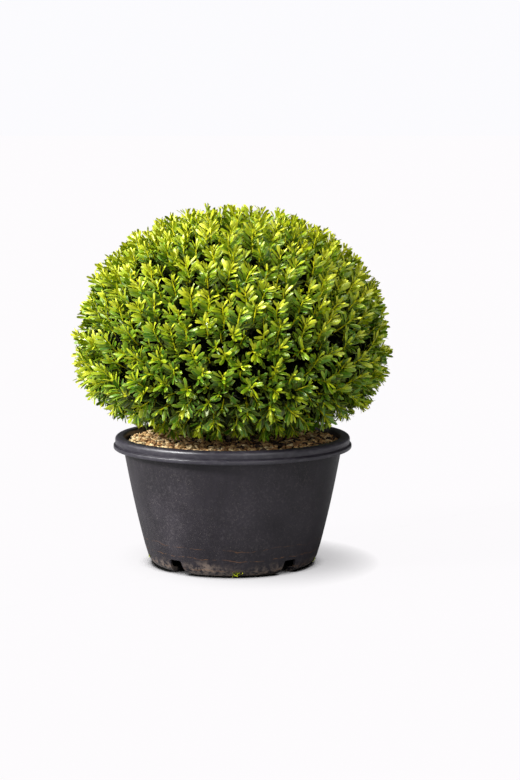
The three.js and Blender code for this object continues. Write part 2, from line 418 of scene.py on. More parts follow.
ARCH = 0.16  # how strongly a blade rises and then bends back
CHANNEL = 0.05  # how far it rises from the midrib to the margins
ROLL = 0.055  # how far the margins roll down again
PALE_ACROSS = {1.0: 1.0, 0.0: 0.45}  # how pale the margins and the midrib are; on the margins this is partly painted highlight


def bend_at(along):
    """How high the midrib stands at a share of the length."""
    return ARCH * along * (1.0 - 1.7 * along)


def make_leaf(blade, across, half_width=0.118):
    """A blade with a channelled midrib, rolled margins and a tip that bends back. across is the
    number of strips on each side of the midrib."""
    columns = np.linspace(-1.0, 1.0, 2 * across + 1)
    n = len(columns)
    verts = [(0.0, 0.0, 0.0)]
    pale = [1.0]
    for along, share in blade:
        for column in columns:
            rise = (CHANNEL * abs(column) - ROLL * column**4) * share
            verts.append((half_width * share * column, along, rise + bend_at(along)))
            pale.append(PALE_ACROSS.get(abs(column), 0.0))
    verts.append((0.0, 1.0, bend_at(1.0)))
    pale.append(1.0)
    tip = len(verts) - 1
    last = tip - n
    faces = []
    for j in range(n - 1):
        faces.append((0, 2 + j, 1 + j))
        for row in range(len(blade) - 1):
            a = 1 + row * n + j
            faces += [(a, a + 1, a + n + 1), (a, a + n + 1, a + n)]
        faces.append((last + j, last + j + 1, tip))
    return Leaf(np.array(verts), np.array(faces), np.array(pale))


def placed_leaves(leaf, roots, along, upper, lengths, widths):
    """Copies of a leaf: each starts at a root, points along, and faces upper."""
    along = unit(along)
    side = unit(np.cross(along, upper))
    face = np.cross(side, along)
    shape = leaf.verts
    x = shape[None, :, 0, None] * side[:, None] * (lengths * widths)[:, None, None]
    y = shape[None, :, 1, None] * along[:, None] * lengths[:, None, None]
    z = shape[None, :, 2, None] * face[:, None] * lengths[:, None, None]
    verts = roots[:, None] + x + y + z
    starts = np.arange(len(roots)) * len(shape)
    faces = leaf.faces[None] + starts[:, None, None]
    return verts.reshape(-1, 3), faces.reshape(-1, 3), np.tile(leaf.pale, len(roots))


# ---- The clipped crown ----


def crown_distance(directions):
    """How far the clipped surface lies from the crown's middle, in each direction."""
    above = directions[:, 2] >= 0
    power = np.where(above, ROUNDNESS_ABOVE, ROUNDNESS_BELOW)
    depth = np.where(above, CROWN_ABOVE, CROWN_BELOW)
    across = np.hypot(directions[:, 0], directions[:, 1]) / CROWN_RADIUS
    up = np.abs(directions[:, 2]) / depth
    return (across**power + up**power) ** (-1 / power)


def crown_points(directions):
    """The clipped surface's points in these directions."""
    middle = np.array((0.0, 0.0, CROWN_MIDDLE))
    return middle + directions * crown_distance(directions)[:, None]


def crown_normals(directions):
    """The clipped surface's outward normals, from two nearby points."""
    side = unit(np.cross(directions, UP) + TINY)
    over = np.cross(side, directions)
    step = 0.01
    here = crown_points(directions)
    a = crown_points(unit(directions + step * side)) - here
    b = crown_points(unit(directions + step * over)) - here
    normals = unit(np.cross(a, b))
    return normals * np.sign(np.sum(normals * directions, axis=1))[:, None]


def scattered(spacing, lowest=-1.0, tries=9000):
    """Directions whose places on the crown are at least spacing apart, with no pattern."""
    z = spread(lowest, 1.0, tries)
    turn = spread(0.0, 2 * pi, tries)
    across = np.sqrt(1 - z * z)
    directions = np.stack((across * np.cos(turn), across * np.sin(turn), z), axis=1)
    places = crown_points(directions)
    kept = [0]
    for i in range(1, tries):
        nearest = np.min(np.sum((places[kept] - places[i]) ** 2, axis=1))
        if nearest > spacing**2:
            kept.append(i)
    return directions[kept]


# ---- Shoots ----

LOWEST_SHOOT = -0.93  # the crown's underside is bare where the stem comes in


@dataclass
class Shoots:
    """Leafy shoots, one a row: each curves from its foot past its bend to its tip."""

    foot: np.ndarray
    bend: np.ndarray
    tip: np.ndarray
    outward: np.ndarray
    tone: np.ndarray

    def at(self, share):
        """The places at these shares of the way up, one share a shoot."""
        s = share[:, None]
        return (1 - s) ** 2 * self.foot + 2 * s * (1 - s) * self.bend + s**2 * self.tip

    def heading(self, share):
        """Which way the shoots point there."""
        s = share[:, None]
        return unit((1 - s) * (self.bend - self.foot) + s * (self.tip - self.bend))

    def __len__(self):
        return len(self.tip)


@dataclass
class Layer:
    """Shoots with their tips about as deep below the clipped surface. Lengths are in mm."""

    spacing: float
    depth: float
    depth_spread: float
    length: float
    pairs: int
    gap: float
    leaf_length: float
    shade: float  # painted shade: how many tones darker than the shoots at the surface
    spread_angle: float = 46.0
    wander: float = 0.3


UPPER_PART = 0.6  # of a shoot's length, from its tip to its bend
LOWER_PART = 0.45  # and from its bend to its foot


def grow_shoots(layer):
    """Shoots all over the crown, leaving the surface upwards, with a seeded wander."""
    directions = scattered(layer.spacing * MM, LOWEST_SHOOT)
    normals = crown_normals(directions)
    count = len(directions)
    depths = layer.depth * MM + layer.depth_spread * MM * spread(-1.0, 1.0, count)
    tip = crown_points(directions) - normals * depths[:, None]
    lengths = layer.length * MM * spread(0.82, 1.2, count)
    pull = np.clip(0.15 + 1.15 * (normals[:, 2:] + 0.5), 0.0, 1.15)  # none on the underside
    heading = unit(normals + pull * UP + layer.wander * rng.normal(size=(count, 3)))
    start = unit(normals + 0.5 * pull * UP + layer.wander * rng.normal(size=(count, 3)))
    bend = tip - heading * (lengths * UPPER_PART)[:, None]
    foot = bend - start * (lengths * LOWER_PART)[:, None]
    return Shoots(foot, bend, tip, normals, rng.uniform(size=count))


# places for leaves, one a row, how far down its shoot each stands, and on which shoot
Leaves = namedtuple("Leaves", "root along upper length down shoot")

TIP_LEAN = 16.0  # degrees between a shoot's tip and its young leaves
TIP_SIZE, GROWTH = 0.42, 0.58  # their length beside a full-grown leaf's, and what they gain
PAIRS_TO_GROW = 3.6  # until the leaves are full-grown
TIP_BEARING = 70.0  # how far the first pair turns out of the spray's plane, in degrees
PAIR_BEARINGS = (52.0, 6.0)  # and the pairs after it, by turns


def leaf_row(shoots, layer, grown, down, share, bearings, frame_axes):
    """One leaf on each shoot. bearings say how far round the shoot each stands, in degrees."""
    count = len(shoots)
    heading, side, face = frame_axes
    turn = np.radians(bearings + spread(-16.0, 16.0, count))[:, None]
    lean = TIP_LEAN + (layer.spread_angle - TIP_LEAN) * grown**1.2 + spread(-9, 9, count)
    lean = np.radians(lean)[:, None]
    out = np.cos(turn) * side + np.sin(turn) * face
    along = np.cos(lean) * heading + np.sin(lean) * out
    upper = np.sin(lean) * heading - np.cos(lean) * out
    twist = spread(0.25, 0.75, count)[:, None]
    upper = unit((1 - twist) * upper + twist * face)
    size = layer.leaf_length * MM * (TIP_SIZE + GROWTH * grown) * spread(0.86, 1.12, count)
    root = shoots.at(share) + out * 0.5 * MM
    return root, along, upper, size, np.full(count, down), np.arange(count)


def leaf_places(shoots, layer):
    """Opposite leaves up each shoot: small and upright at the tip, then longer and more spread.
    Every other pair lies near the spray's plane, and those between stand out from it."""
    gap = layer.gap * MM
    total = norm(shoots.tip - shoots.foot, axis=1)
    rows = []
    travelled = np.zeros(len(shoots))
    for pair in range(layer.pairs):
        grown = min(1.0, (pair + 0.6) / PAIRS_TO_GROW)
        step = gap * (0.35 + 0.65 * grown)
        travelled = travelled + step * spread(0.85, 1.15, len(shoots))
        share = np.clip(1.0 - (travelled - 0.9 * gap) / total, 0.02, 1.0)
        heading = shoots.heading(share)
        wander = 0.12 * rng.normal(size=heading.shape)
        face = unit(shoots.outward + 0.35 * UP + wander)
        side = unit(np.cross(heading, face))
        axes = (heading, side, np.cross(side, heading))
        bearing = TIP_BEARING if pair == 0 else PAIR_BEARINGS[pair % 2]
        for around in (bearing, 180.0 - bearing):
            rows.append(leaf_row(shoots, layer, grown, pair * gap, share, around, axes))
    return Leaves(*(np.concatenate(column) for column in zip(*rows)))


def tubes(points, radii, sides):
    """Tapering tubes, one a row of points, shape (count, steps, 3), with radii (count, steps)."""
    count, steps, _ = points.shape
    heading = unit(np.gradient(points, axis=1))
    reference = np.where(np.abs(heading[..., 2:3]) > 0.9, np.array((1.0, 0.0, 0.0)), UP)
    reference = reference[:, :1].repeat(steps, axis=1)
    side = unit(np.cross(heading, reference))
    over = np.cross(side, heading)
    turn = np.arange(sides) * 2 * pi / sides
    ring = side[:, :, None] * np.cos(turn)[:, None] + over[:, :, None] * np.sin(turn)[:, None]
    verts = points[:, :, None] + ring * radii[:, :, None, None]
    corner = np.arange(sides)
    step = np.arange(steps - 1)[:, None] * sides
    a = (step + corner).ravel()
    b = (step + (corner + 1) % sides).ravel()
    quads = np.stack((a, b, b + sides, a + sides), axis=1)
    faces = quads[None] + (np.arange(count) * steps * sides)[:, None, None]
    return verts.reshape(-1, 3), faces.reshape(-1, 4)


# ---- Limbs and forks ----


FEWEST_POINTS = 4  # a slice of a limb with fewer has no sure middle


def centreline(node, near, slices=6):
    """The middle line and radii of a CAD limb, from its end nearest to the point near."""
    co = np.array([v.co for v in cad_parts[node].data.vertices])
    middle = co.mean(axis=0)
    axis = svd(co - middle, full_matrices=False)[2][0]
    along = (co - middle) @ axis
    if axis @ (middle - np.array(near)) < 0:
        axis, along = -axis, -along
    edges = np.linspace(along.min(), along.max(), slices + 1)
    line, radii = [], []
    for low, high in zip(edges[:-1], edges[1:]):
        inside = co[(along >= low - TINY) & (along <= high + TINY)]
        if len(inside) < FEWEST_POINTS:
            continue
        centre = inside.mean(axis=0)
        off = inside - centre
        off = off - np.outer(off @ axis, axis)
        line.append(centre)
        radii.append(norm(off, axis=1).mean())
    return np.array(line), np.array(radii)


def resampled(line, values, count):
    """A line and values that go with it, at count even steps, smoothed through its points."""
    length = np.concatenate(([0.0], np.cumsum(norm(np.diff(line, axis=0), axis=1))))
    even = np.linspace(0.0, length[-1], count)
    points = np.stack([np.interp(even, length, line[:, i]) for i in range(3)], axis=1)
    for _ in range(3):
        points[1:-1] = (points[:-2] + 2 * points[1:-1] + points[2:]) / 4
    return points, np.interp(even, length, values)


FORK_PULL = 0.08


def inner_nodes(spacing, share, lowest):
    """Forks at a share of the way from the heart to the surface, and their headings. More forks
    head more steeply upwards."""
    directions = scattered(spacing, lowest)
    outer = crown_points(directions)
    shares = share * spread(0.9, 1.1, len(outer))[:, None]
    points = CROWN_HEART + (outer - CROWN_HEART) * shares
    rise = FORK_PULL * norm(points) * UP
    return points, unit(points - CROWN_HEART + rise)


# ---- Build: plant ----

# deep colour, light colour, gloss
LEAF_TONES = {
    "leaves_lime": (rgb(160, 170, 14), rgb(198, 202, 44), 0.6),
    "leaves_fresh": (rgb(132, 154, 6), rgb(172, 186, 20), 0.65),
    "leaves_bright": (rgb(88, 126, 8), rgb(124, 154, 16), 0.65),
    "leaves_green": (rgb(48, 94, 8), rgb(76, 122, 14), 0.65),
    "leaves_deep": (rgb(18, 50, 6), rgb(34, 72, 10), 0.5),
    # the two darkest tones are painted shade for leaves deep in the crown, darker than their own
    # green
    "leaves_shade": (rgb(5, 20, 3), rgb(12, 34, 5), 0.2),
    "leaves_inner_shade": (rgb(2, 6, 1), rgb(4, 11, 2), 0.05),
}
TONE_ORDER = list(LEAF_TONES)
GREEN_SHARE = 0.42  # below this share of its length a stalk has turned woody
FINE_DEPTH = 15 * MM  # leaves further down a shoot are plainer


TONE_DEPTHS = (0, 2.5, 6, 11, 18, 27)  # how far down its shoot a leaf stands, in mm
DARKER_BY = (0, 0.7, 1.9, 2.8, 3.8, 5.4)  # and how many tones darker it is there: partly the deeper green of older leaves, partly painted shade
SUN_ABOVE, SUN_LEFT, SUN_RIGHT = 0.9, 0.6, 0.3  # how many tones lighter the ball is painted there: painted sunlight on the top and sides, painted shade on the underside


def tone_of(leaves, shoots, shift):
    """Each leaf's tone, from how far down its shoot it stands, and its spray's own tone and place.
    The place paints light and shade: sprays on the top and sides are painted lighter, those on the
    underside darker.
    """
    aside, _, high = shoots.outward.T
    # painted light and shade: sprays facing up and to the sides get lighter tones, the underside
    # darker
    sunny = SUN_ABOVE * high + np.where(aside < 0, -SUN_LEFT, SUN_RIGHT) * aside
    spray = shift + 1.5 * (0.5 - shoots.tone) - sunny
    by_depth = np.interp(leaves.down, np.array(TONE_DEPTHS) * MM, DARKER_BY)
    # painted shade: on the ball's underside the leaves darken faster down the shoot
    by_depth *= 1 + 0.3 * np.clip(-high, 0.0, 1.0)[leaves.shoot]
    tone = by_depth + spray[leaves.shoot] + spread(-0.35, 0.35, len(leaves.down))
    return np.clip(np.round(tone), 0, len(LEAF_TONES) - 1).astype(int)


def leaf_sets(leaf, leaves, tones, sets):
    """Adds the leaves to their tones' sets. A tone of -1 leaves one out."""
    for index, name in enumerate(TONE_ORDER):
        chosen = tones == index
        if not chosen.any():
            continue
        widths = spread(0.88, 1.15, int(chosen.sum()))
        part = placed_leaves(leaf, *(column[chosen] for column in leaves[:4]), widths)
        sets.setdefault(name, []).append(part)


LAYERS = {
    "outer": Layer(15.2, 4.0, 2.2, 33, 18, 1.65, 12.1, 0.0),
    "short": Layer(12.9, 10.0, 4.0, 16, 7, 1.6, 9.3, 1.1),
    "second": Layer(17.0, 20.0, 4.0, 30, 10, 2.8, 13.0, 5.0),
    "inner": Layer(18.6, 34.0, 6.0, 32, 8, 3.8, 14.0, 9.0, 66.0),
}


# layer, steps, sides, radius at foot and tip in mm, from and to which share of the shoot
YOUNG_STALKS = (
    ("outer", 6, 5, 0.62, 0.5, GREEN_SHARE, 1.0),
    ("short", 4, 4, 0.6, 0.5, GREEN_SHARE, 1.0),
)
WOODY_STALKS = (
    ("outer", 4, 4, 0.75, 0.62, 0.0, GREEN_SHARE),
    ("short", 3, 4, 0.7, 0.6, 0.0, GREEN_SHARE),
    ("second", 5, 4, 0.8, 0.5, 0.0, 1.0),
    ("inner", 4, 4, 0.9, 0.6, 0.0, 1.0),
)


def stalks(grown, table):
    """The tubes of a table of stalks."""
    parts = []
    for layer, steps, sides, thick, thin, low, high in table:
        shoots, shares = grown[layer], np.linspace(low, high, steps)
        points = np.stack([shoots.at(np.full(len(shoots), share)) for share in shares], axis=1)
        radii = thick * MM + (thin * MM - thick * MM) * shares
        parts.append(tubes(points, np.tile(radii, (len(shoots), 1)), sides))
    return parts


def grow_leaves():
    """The shoots of each layer, and their leaves in a set for each tone. Leaves near a tip get
    the finest mesh, and dark ones the plainest."""
    fine_leaf = make_leaf(BLADE, 2)
    plain_leaf = make_leaf(BLADE_PLAIN, 1)
    coarse_leaf = make_leaf(BLADE_COARSE, 1, 0.15)
    darkest_fine = TONE_ORDER.index("leaves_green")
    darkest_plain = TONE_ORDER.index("leaves_shade")
    grown, sets = {}, {}
    for name, layer in LAYERS.items():
        shoots = grown[name] = grow_shoots(layer)
        places = leaf_places(shoots, layer)
        tones = tone_of(places, shoots, layer.shade)
        fine = (places.down < FINE_DEPTH) & (tones <= darkest_fine)
        plain = ~fine & (tones <= darkest_plain)
        leaf_sets(fine_leaf, places, np.where(fine, tones, -1), sets)
        leaf_sets(plain_leaf, places, np.where(plain, tones, -1), sets)
        leaf_sets(coarse_leaf, places, np.where(fine | plain, -1, tones), sets)
    return grown, sets


def build_foliage():
    """Leaves and young stalks. Returns the shoots."""
    grown, sets = grow_leaves()
    for name, parts in sets.items():
        verts, faces, pale = joined(parts)
        look = leaf_material(name, *LEAF_TONES[name])
        mesh_piece(name, verts, faces, look, "foliage", ("crown",), pale)
    young = joined(stalks(grown, YOUNG_STALKS))
    mesh_piece("young_shoots", *young, shoot_material(), "foliage")
    return grown


BARK_RELIEF = 0.16  # of the limb's radius


def limb_mesh(line, radii, sides, steps, seed):
    """A limb with ridged bark: its radius wanders along and round it."""
    points, radius = resampled(line, radii, steps)
    verts, faces = tubes(points[None], radius[None], sides)
    rings = verts.reshape(steps, sides, 3)
    for i in range(steps):
        for j in range(sides):
            out = rings[i, j] - points[i]
            at = Vector((j * 0.9, i * 0.22, seed * 3.1))
            ridge = noise.fractal(at, 0.8, 2.0, 3)
            rings[i, j] = points[i] + out * (1 + BARK_RELIEF * ridge)
    return rings.reshape(-1, 3), faces


def build_limbs():
    """The stem and boughs. Returns where twigs leave them, and which way."""
    bark = limb_material("bark", rgb(82, 68, 50), rgb(146, 128, 98), 180.0)
    stem_low, stem_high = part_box("stem")
    foot = ((stem_low.x + stem_high.x) / 2, (stem_low.y + stem_high.y) / 2, stem_low.z)
    line, radii = centreline("stem", foot, 7)
    verts, faces = limb_mesh(line, radii, 28, 60, 1)
    mesh_piece("stem_bark", verts, faces, bark, "bark", ("stem",))
    ends, headings = [line[-1]], [UP]
    bough_names = sorted(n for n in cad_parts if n.startswith("bough_"))
    for index, name in enumerate(bough_names):
        line, radii = centreline(name, foot)
        verts, faces = limb_mesh(line, radii, 18, 40, index + 2)
        mesh_piece(name + "_bark", verts, faces, bark, "bark", (name,))
        ends += [line[-1], line[len(line) // 2 + 1]]
        headings += [unit(line[-1] - line[-2])] * 2
    return np.array(ends), np.array(headings)


# spacing, share of the way out, lowest; and the twigs there: radius at foot and tip, steps, sides
FORK_LEVELS = (
    (48 * MM, 0.58, -0.85, 1.9 * MM, 1.3 * MM, 7, 6),
    (27 * MM, 0.76, -0.88, 1.3 * MM, 1.0 * MM, 6, 5),
)
LAST_TWIGS = (1.0 * MM, 0.85 * MM, 4, 4)
TWIG_STIFFNESS = 0.4  # the share of its span in which a twig keeps to its heading


def twig_tubes(parents, children, thick, thin, steps, sides):
    """Curved twigs to each child from its nearest parent. Both are (places, headings), and a twig
    leaves and arrives along those."""
    gaps = norm(children[0][:, None] - parents[0][None], axis=2)
    nearest = np.argmin(gaps, axis=1)
    start, far = parents[0][nearest], gaps[np.arange(len(gaps)), nearest][:, None]
    leave = start + parents[1][nearest] * far * TWIG_STIFFNESS
    arrive = children[0] - children[1] * far * TWIG_STIFFNESS
    s = np.linspace(0.0, 1.0, steps)[None, :, None]
    points = (
        (1 - s) ** 3 * start[:, None]
        + 3 * s * (1 - s) ** 2 * leave[:, None]
        + 3 * s**2 * (1 - s) * arrive[:, None]
        + s**3 * children[0][:, None]
    )
    return tubes(points, np.tile(np.linspace(thick, thin, steps), (len(points), 1)), sides)


def build_twigs(limbs, grown):
    """Twigs that fork twice on their way from the limbs to the shoots' feet."""
    parents, parts = limbs, []
    for spacing, share, lowest, *section in FORK_LEVELS:
        forks = inner_nodes(spacing, share, lowest)
        parts.append(twig_tubes(parents, forks, *section))
        parents = forks
    feet = np.concatenate([shoots.foot for shoots in grown.values()])
    first = [shoots.heading(np.zeros(len(shoots))) for shoots in grown.values()]
    parts.append(twig_tubes(parents, (feet, np.concatenate(first)), *LAST_TWIGS))
    verts, faces = joined(parts + stalks(grown, WOODY_STALKS))
    twig_bark = limb_material("twig_bark", rgb(26, 26, 12), rgb(50, 46, 24), 240.0)
    mesh_piece("twigs", verts, faces, twig_bark, "bark")


# ---- Build: pot ----


def wall_outside(z):
    """The wall's radius: a sloping line that stands out a little at its middle."""
    return WALL_FOOT_RADIUS + WALL_SLOPE * z + WALL_BULGE * sin(pi * z / RIM_LOW.z)


def wall_inside(z):
    """The radius of the wall's inner face."""
    return wall_outside(z) - WALL_THICKNESS


def arc(radius, height, size, start, end, steps):
    """Points of an arc in the profile's plane, its angles in degrees from the outward way."""
    turns = [radians(start + (end - start) * i / steps) for i in range(steps + 1)]
    return [(radius + size * cos(t), height + size * sin(t)) for t in turns]


WALL_TILT = degrees(atan(WALL_SLOPE))
# how far a corner's middle lies inside the wall at its foot, for a radius of 1
CORNER_REACH = 1 / cos(radians(WALL_TILT)) - WALL_SLOPE
FLOOR_TOP = 5 * MM
INSIDE_CORNER = 6 * MM
RIM_TOP, RIM_FOOT = RIM_HIGH.z, RIM_LOW.z
UNDER_RIM = RIM_TOP - 2.4 * MM
LIP = RIM_HIGH.x
BAND = LIP - 1.5 * MM  # the upright band over the lip
GROOVE = BAND - 0.55 * MM
MOUTH = 96.2 * MM
BROW, EDGE = 3.2 * MM, 2 * MM  # the rounding of the rim's top, outside and inside


def foot_profile():
    """The underside, the foot's corner and the outside of the wall."""
    corner = FOOT_CORNER
    return [
        (0, 2.5 * MM),
        (56.4 * MM, 2.5 * MM),
        (57.4 * MM, 2.1 * MM),
        (59.0 * MM, 0.4 * MM),
        (60.2 * MM, 0),
        *arc(wall_outside(0) - corner * CORNER_REACH, corner, corner, -90, -WALL_TILT, 12),
        *[(wall_outside(z), z) for z in np.linspace(18 * MM, UNDER_RIM - 2 * MM, 12)],
        (wall_outside(UNDER_RIM) + 0.4 * MM, UNDER_RIM - 0.4 * MM),
    ]


def rim_profile():
    """The rim's underside, its lip with a bead, the groove, the band and the top."""
    return [
        (LIP - 3.4 * MM, UNDER_RIM - 0.2 * MM),
        (LIP - 2.5 * MM, UNDER_RIM - 1.0 * MM),
        (LIP - 2.4 * MM, RIM_FOOT + 0.8 * MM),
        (LIP - 1.9 * MM, RIM_FOOT + 0.15 * MM),
        *arc(LIP - 1.15 * MM, RIM_FOOT + 1.15 * MM, 1.15 * MM, -90, 0, 6),
        (LIP, RIM_FOOT + 2.2 * MM),
        *arc(LIP - 0.9 * MM, RIM_FOOT + 2.7 * MM, 0.9 * MM, 0, 90, 5),
        (GROOVE + 0.2 * MM, RIM_FOOT + 3.6 * MM),
        (GROOVE, RIM_FOOT + 3.85 * MM),
        (GROOVE + 0.1 * MM, RIM_FOOT + 4.3 * MM),
        (BAND - 0.1 * MM, RIM_FOOT + 4.9 * MM),
        *arc(BAND - BROW, RIM_TOP - BROW, BROW, -4, 60, 12),
        *arc(BAND - BROW, RIM_TOP - BROW, BROW, 68, 90, 3),
        *arc(MOUTH + EDGE, RIM_TOP - EDGE, EDGE, 90, 180, 8),
    ]


def inside_profile():
    """The inside of the wall, down to the floor's middle."""
    corner = INSIDE_CORNER
    middle = wall_inside(FLOOR_TOP) - corner * CORNER_REACH
    return [
        (MOUTH - 0.1 * MM, 108 * MM),
        *[(wall_inside(z), z) for z in np.linspace(105 * MM, 16 * MM, 10)],
        *arc(middle, FLOOR_TOP + corner, corner, -WALL_TILT, -90, 8),
        (0, FLOOR_TOP),
    ]


def turned(profile, segments):
    """A profile turned round the Z axis, with one point where it meets the axis."""
    turn = np.arange(segments) * 2 * pi / segments
    verts, rings = [], []
    for radius, height in profile:
        if radius == 0:
            rings.append([len(verts)] * segments)
            verts.append((0.0, 0.0, height))
            continue
        rings.append([len(verts) + i for i in range(segments)])
        verts += [(radius * cos(t), radius * sin(t), height) for t in turn]
    faces = []
    for low, high in zip(rings, rings[1:]):
        for i in range(segments):
            j = (i + 1) % segments
            corners = dict.fromkeys((low[i], low[j], high[j], high[i]))
            faces.append(tuple(corners))
    return verts, faces


def object_from(name, verts, faces):
    """A new object from lists of vertices and faces."""
    mesh = bpy.data.meshes.new(name)
    mesh.from_pydata(verts, [], faces)
    mesh.update()
    return linked(name, mesh)


def turned_piece(name, verts, faces, material, node):
    """A smooth piece that stands for one CAD node."""
    piece = object_from(name, verts, faces)
    piece.data.materials.append(material)
    smooth(piece.data)
    dressed(piece, (node,))


NOTCH_BEARINGS = (40.5, 139.5, -139.5, -40.5)  # degrees round from the front
NOTCH_HEIGHT = 13 * MM
NOTCH_TOP_HALF = 6.2 * MM
NOTCH_FOOT_HALF = 8.7 * MM
POT_SEGMENTS = 224
SHARPEST_SMOOTH = radians(38)  # edges that turn more than this stay sharp


def notch_cutter(bearing):
    """A tapering wedge with rounded top corners that points outwards."""
    inner, outer = 60 * MM, 84 * MM
    corner = 1.6 * MM
    below = -1 * MM  # past the underside, so that the cut is clean
    outline = [(-NOTCH_FOOT_HALF, below), (NOTCH_FOOT_HALF, below)]
    outline += arc(NOTCH_TOP_HALF - corner, NOTCH_HEIGHT - corner, corner, 15, 90, 5)
    outline += arc(-NOTCH_TOP_HALF + corner, NOTCH_HEIGHT - corner, corner, 90, 165, 5)
    turn = radians(bearing)
    across = Vector((cos(turn), sin(turn), 0))
    out = Vector((sin(turn), -cos(turn), 0))
    verts = []
    for depth in (inner, outer):
        verts += [across * x + out * depth + Vector((0, 0, z)) for x, z in outline]
    n = len(outline)
    faces = [tuple(reversed(range(n))), tuple(range(n, 2 * n))]
    faces += [(i, (i + 1) % n, (i + 1) % n + n, i + n) for i in range(n)]
    return object_from("notch", verts, faces)


def cut_out(piece, cutters):
    """The piece's mesh without the cutters' space. All these objects are removed."""
    for cutter in cutters:
        modifier = piece.modifiers.new("cut", "BOOLEAN")
        modifier.operation = "DIFFERENCE"
        modifier.solver = "EXACT"
        modifier.object = cutter
    bpy.context.view_layer.update()
    evaluated = piece.evaluated_get(bpy.context.evaluated_depsgraph_get())
    mesh = bpy.data.meshes.new_from_object(evaluated)
    for used in (piece, *cutters):
        bpy.data.objects.remove(used, do_unlink=True)
    return mesh


def build_pot():
    """Wall and rim in one mesh, with a material each."""
    profile = foot_profile() + rim_profile() + inside_profile()
    whole = object_from("raw_pot", *turned(profile, POT_SEGMENTS))
    mesh = cut_out(whole, [notch_cutter(bearing) for bearing in NOTCH_BEARINGS])
    mesh.materials.clear()
    mesh.materials.append(wall_material())
    mesh.materials.append(rim_material())
    on_rim = [int(face.center.z > RIM_FOOT - 0.1 * MM) for face in mesh.polygons]
    mesh.polygons.foreach_set("material_index", on_rim)
    smooth(mesh)
    mesh.set_sharp_from_angle(angle=SHARPEST_SMOOTH)
    dressed(linked("nursery_pot", mesh), ("pot", "pot_rim"))


# ---- Build: root ball and mulch ----


def bumpy(verts, size, height, seed):
    """Places moved in and out by about height, in bumps of about size."""
    moved = []
    for v in verts:
        at = Vector(v) / size + Vector((seed, 0, 0))
        moved.append(Vector(v) + Vector(unit(np.array(v) + TINY)) * height * noise.noise(at))
    return moved


COMPOST_GAP = 0.9 * MM  # between the root ball and the pot
COMPOST_FLAT = 57 * MM  # the radius of the root ball's flat underside


def build_compost():
    """The root ball: crumbly all over, a little inside the pot."""
    low, high = BALL_LOW.z, BALL_HIGH.z
    gap, flat = COMPOST_GAP, COMPOST_FLAT
    side = [(wall_inside(z) - gap, z) for z in np.linspace(low + 14 * MM, high, 24)]
    profile = [(radius, low + gap) for radius in (0, 20 * MM, 40 * MM, flat)]
    profile += [(r, low + (r - flat) * 0.75 + gap) for r in (62 * MM, 68 * MM)]
    profile += [*side, (60 * MM, high), (30 * MM, high), (0, high)]
    verts, faces = turned(profile, 160)
    look = compost_material("compost", rgb(24, 18, 13), rgb(66, 50, 36))
    shaped = bumpy(verts, 5 * MM, 0.8 * MM, 3.0)
    turned_piece("compost", shaped, faces, look, "root_ball")


MULCH_EDGE, MULCH_MIDDLE = 108.4 * MM, 109.4 * MM


def mulch_surface(x, y):
    """The mulch's height under a place: a little higher towards the stem."""
    out = hypot(x, y) / MULCH_HIGH.x
    return MULCH_MIDDLE + (MULCH_EDGE - MULCH_MIDDLE) * min(1.0, out) ** 2


def build_mulch_bed():
    """The uneven bed of bark dust under the chips."""
    low = MULCH_LOW.z
    edge = MULCH_HIGH.x - 0.8 * MM
    radii = np.linspace(edge, 0.0, 40)
    profile = [(0, low), (edge, low)] + [(r, mulch_surface(r, 0)) for r in radii]
    verts, faces = turned(profile, 150)
    shaped = []
    for v in verts:
        bump = noise.fractal(Vector(v) / (6 * MM), 0.8, 2.0, 3)
        rise = 1.4 * MM * bump if v[2] > low else 0
        shaped.append((v[0], v[1], v[2] + rise))
    # dark bark dust, painted near black as painted shade in the gaps between the chips
    look = compost_material("mulch_fines", rgb(6, 4, 3), rgb(34, 24, 15))
    turned_piece("mulch_bed", shaped, faces, look, "bark_mulch")


CHIP_TONES = {
    "chips_cream": (rgb(206, 176, 126), rgb(240, 216, 166)),
    "chips_tan": (rgb(172, 134, 84), rgb(214, 176, 120)),
    "chips_brown": (rgb(122, 86, 50), rgb(168, 126, 78)),
    "chips_dark": (rgb(34, 23, 14), rgb(66, 45, 27)),
}


CHIP_COUNT = 2100
SHRED_SHARE = 0.3
# how high each ring of a flake stands beside its thickness, and how wide it is
CHIP_RINGS = ((-0.5, 0.78), (-0.15, 1.0), (0.2, 0.97), (0.5, 0.72))


def chip(length, width, thickness, ragged):
    """One flake of bark: an uneven outline with a worn top and bottom edge."""
    corners = 7
    turn = np.arange(corners) * 2 * pi / corners + spread(-0.25, 0.25, corners)
    reach = spread(1.0 - ragged, 1.0, corners)
    x, y = np.cos(turn) * reach * length / 2, np.sin(turn) * reach * width / 2
    bow = spread(-0.25, 0.5) * thickness * (x / length * 2) ** 2
    rings = []
    for level, shrink in CHIP_RINGS:
        z = level * thickness + bow + spread(-0.12, 0.12, corners) * thickness
        rings.append(np.stack((x * shrink, y * shrink, z), axis=1))
    verts = np.concatenate([*rings, [[0, 0, -0.5 * thickness], [0, 0, 0.55 * thickness]]])
    faces = []
    for ring in range(len(rings) - 1):
        for i in range(corners):
            a, b = ring * corners + i, ring * corners + (i + 1) % corners
            faces += [(a, b, b + corners), (a, b + corners, a + corners)]
    last = (len(rings) - 1) * corners
    bottom, top = len(verts) - 2, len(verts) - 1
    for i in range(corners):
        j = (i + 1) % corners
        faces += [(bottom, j, i), (top, last + i, last + j)]
    return verts, np.array(faces)


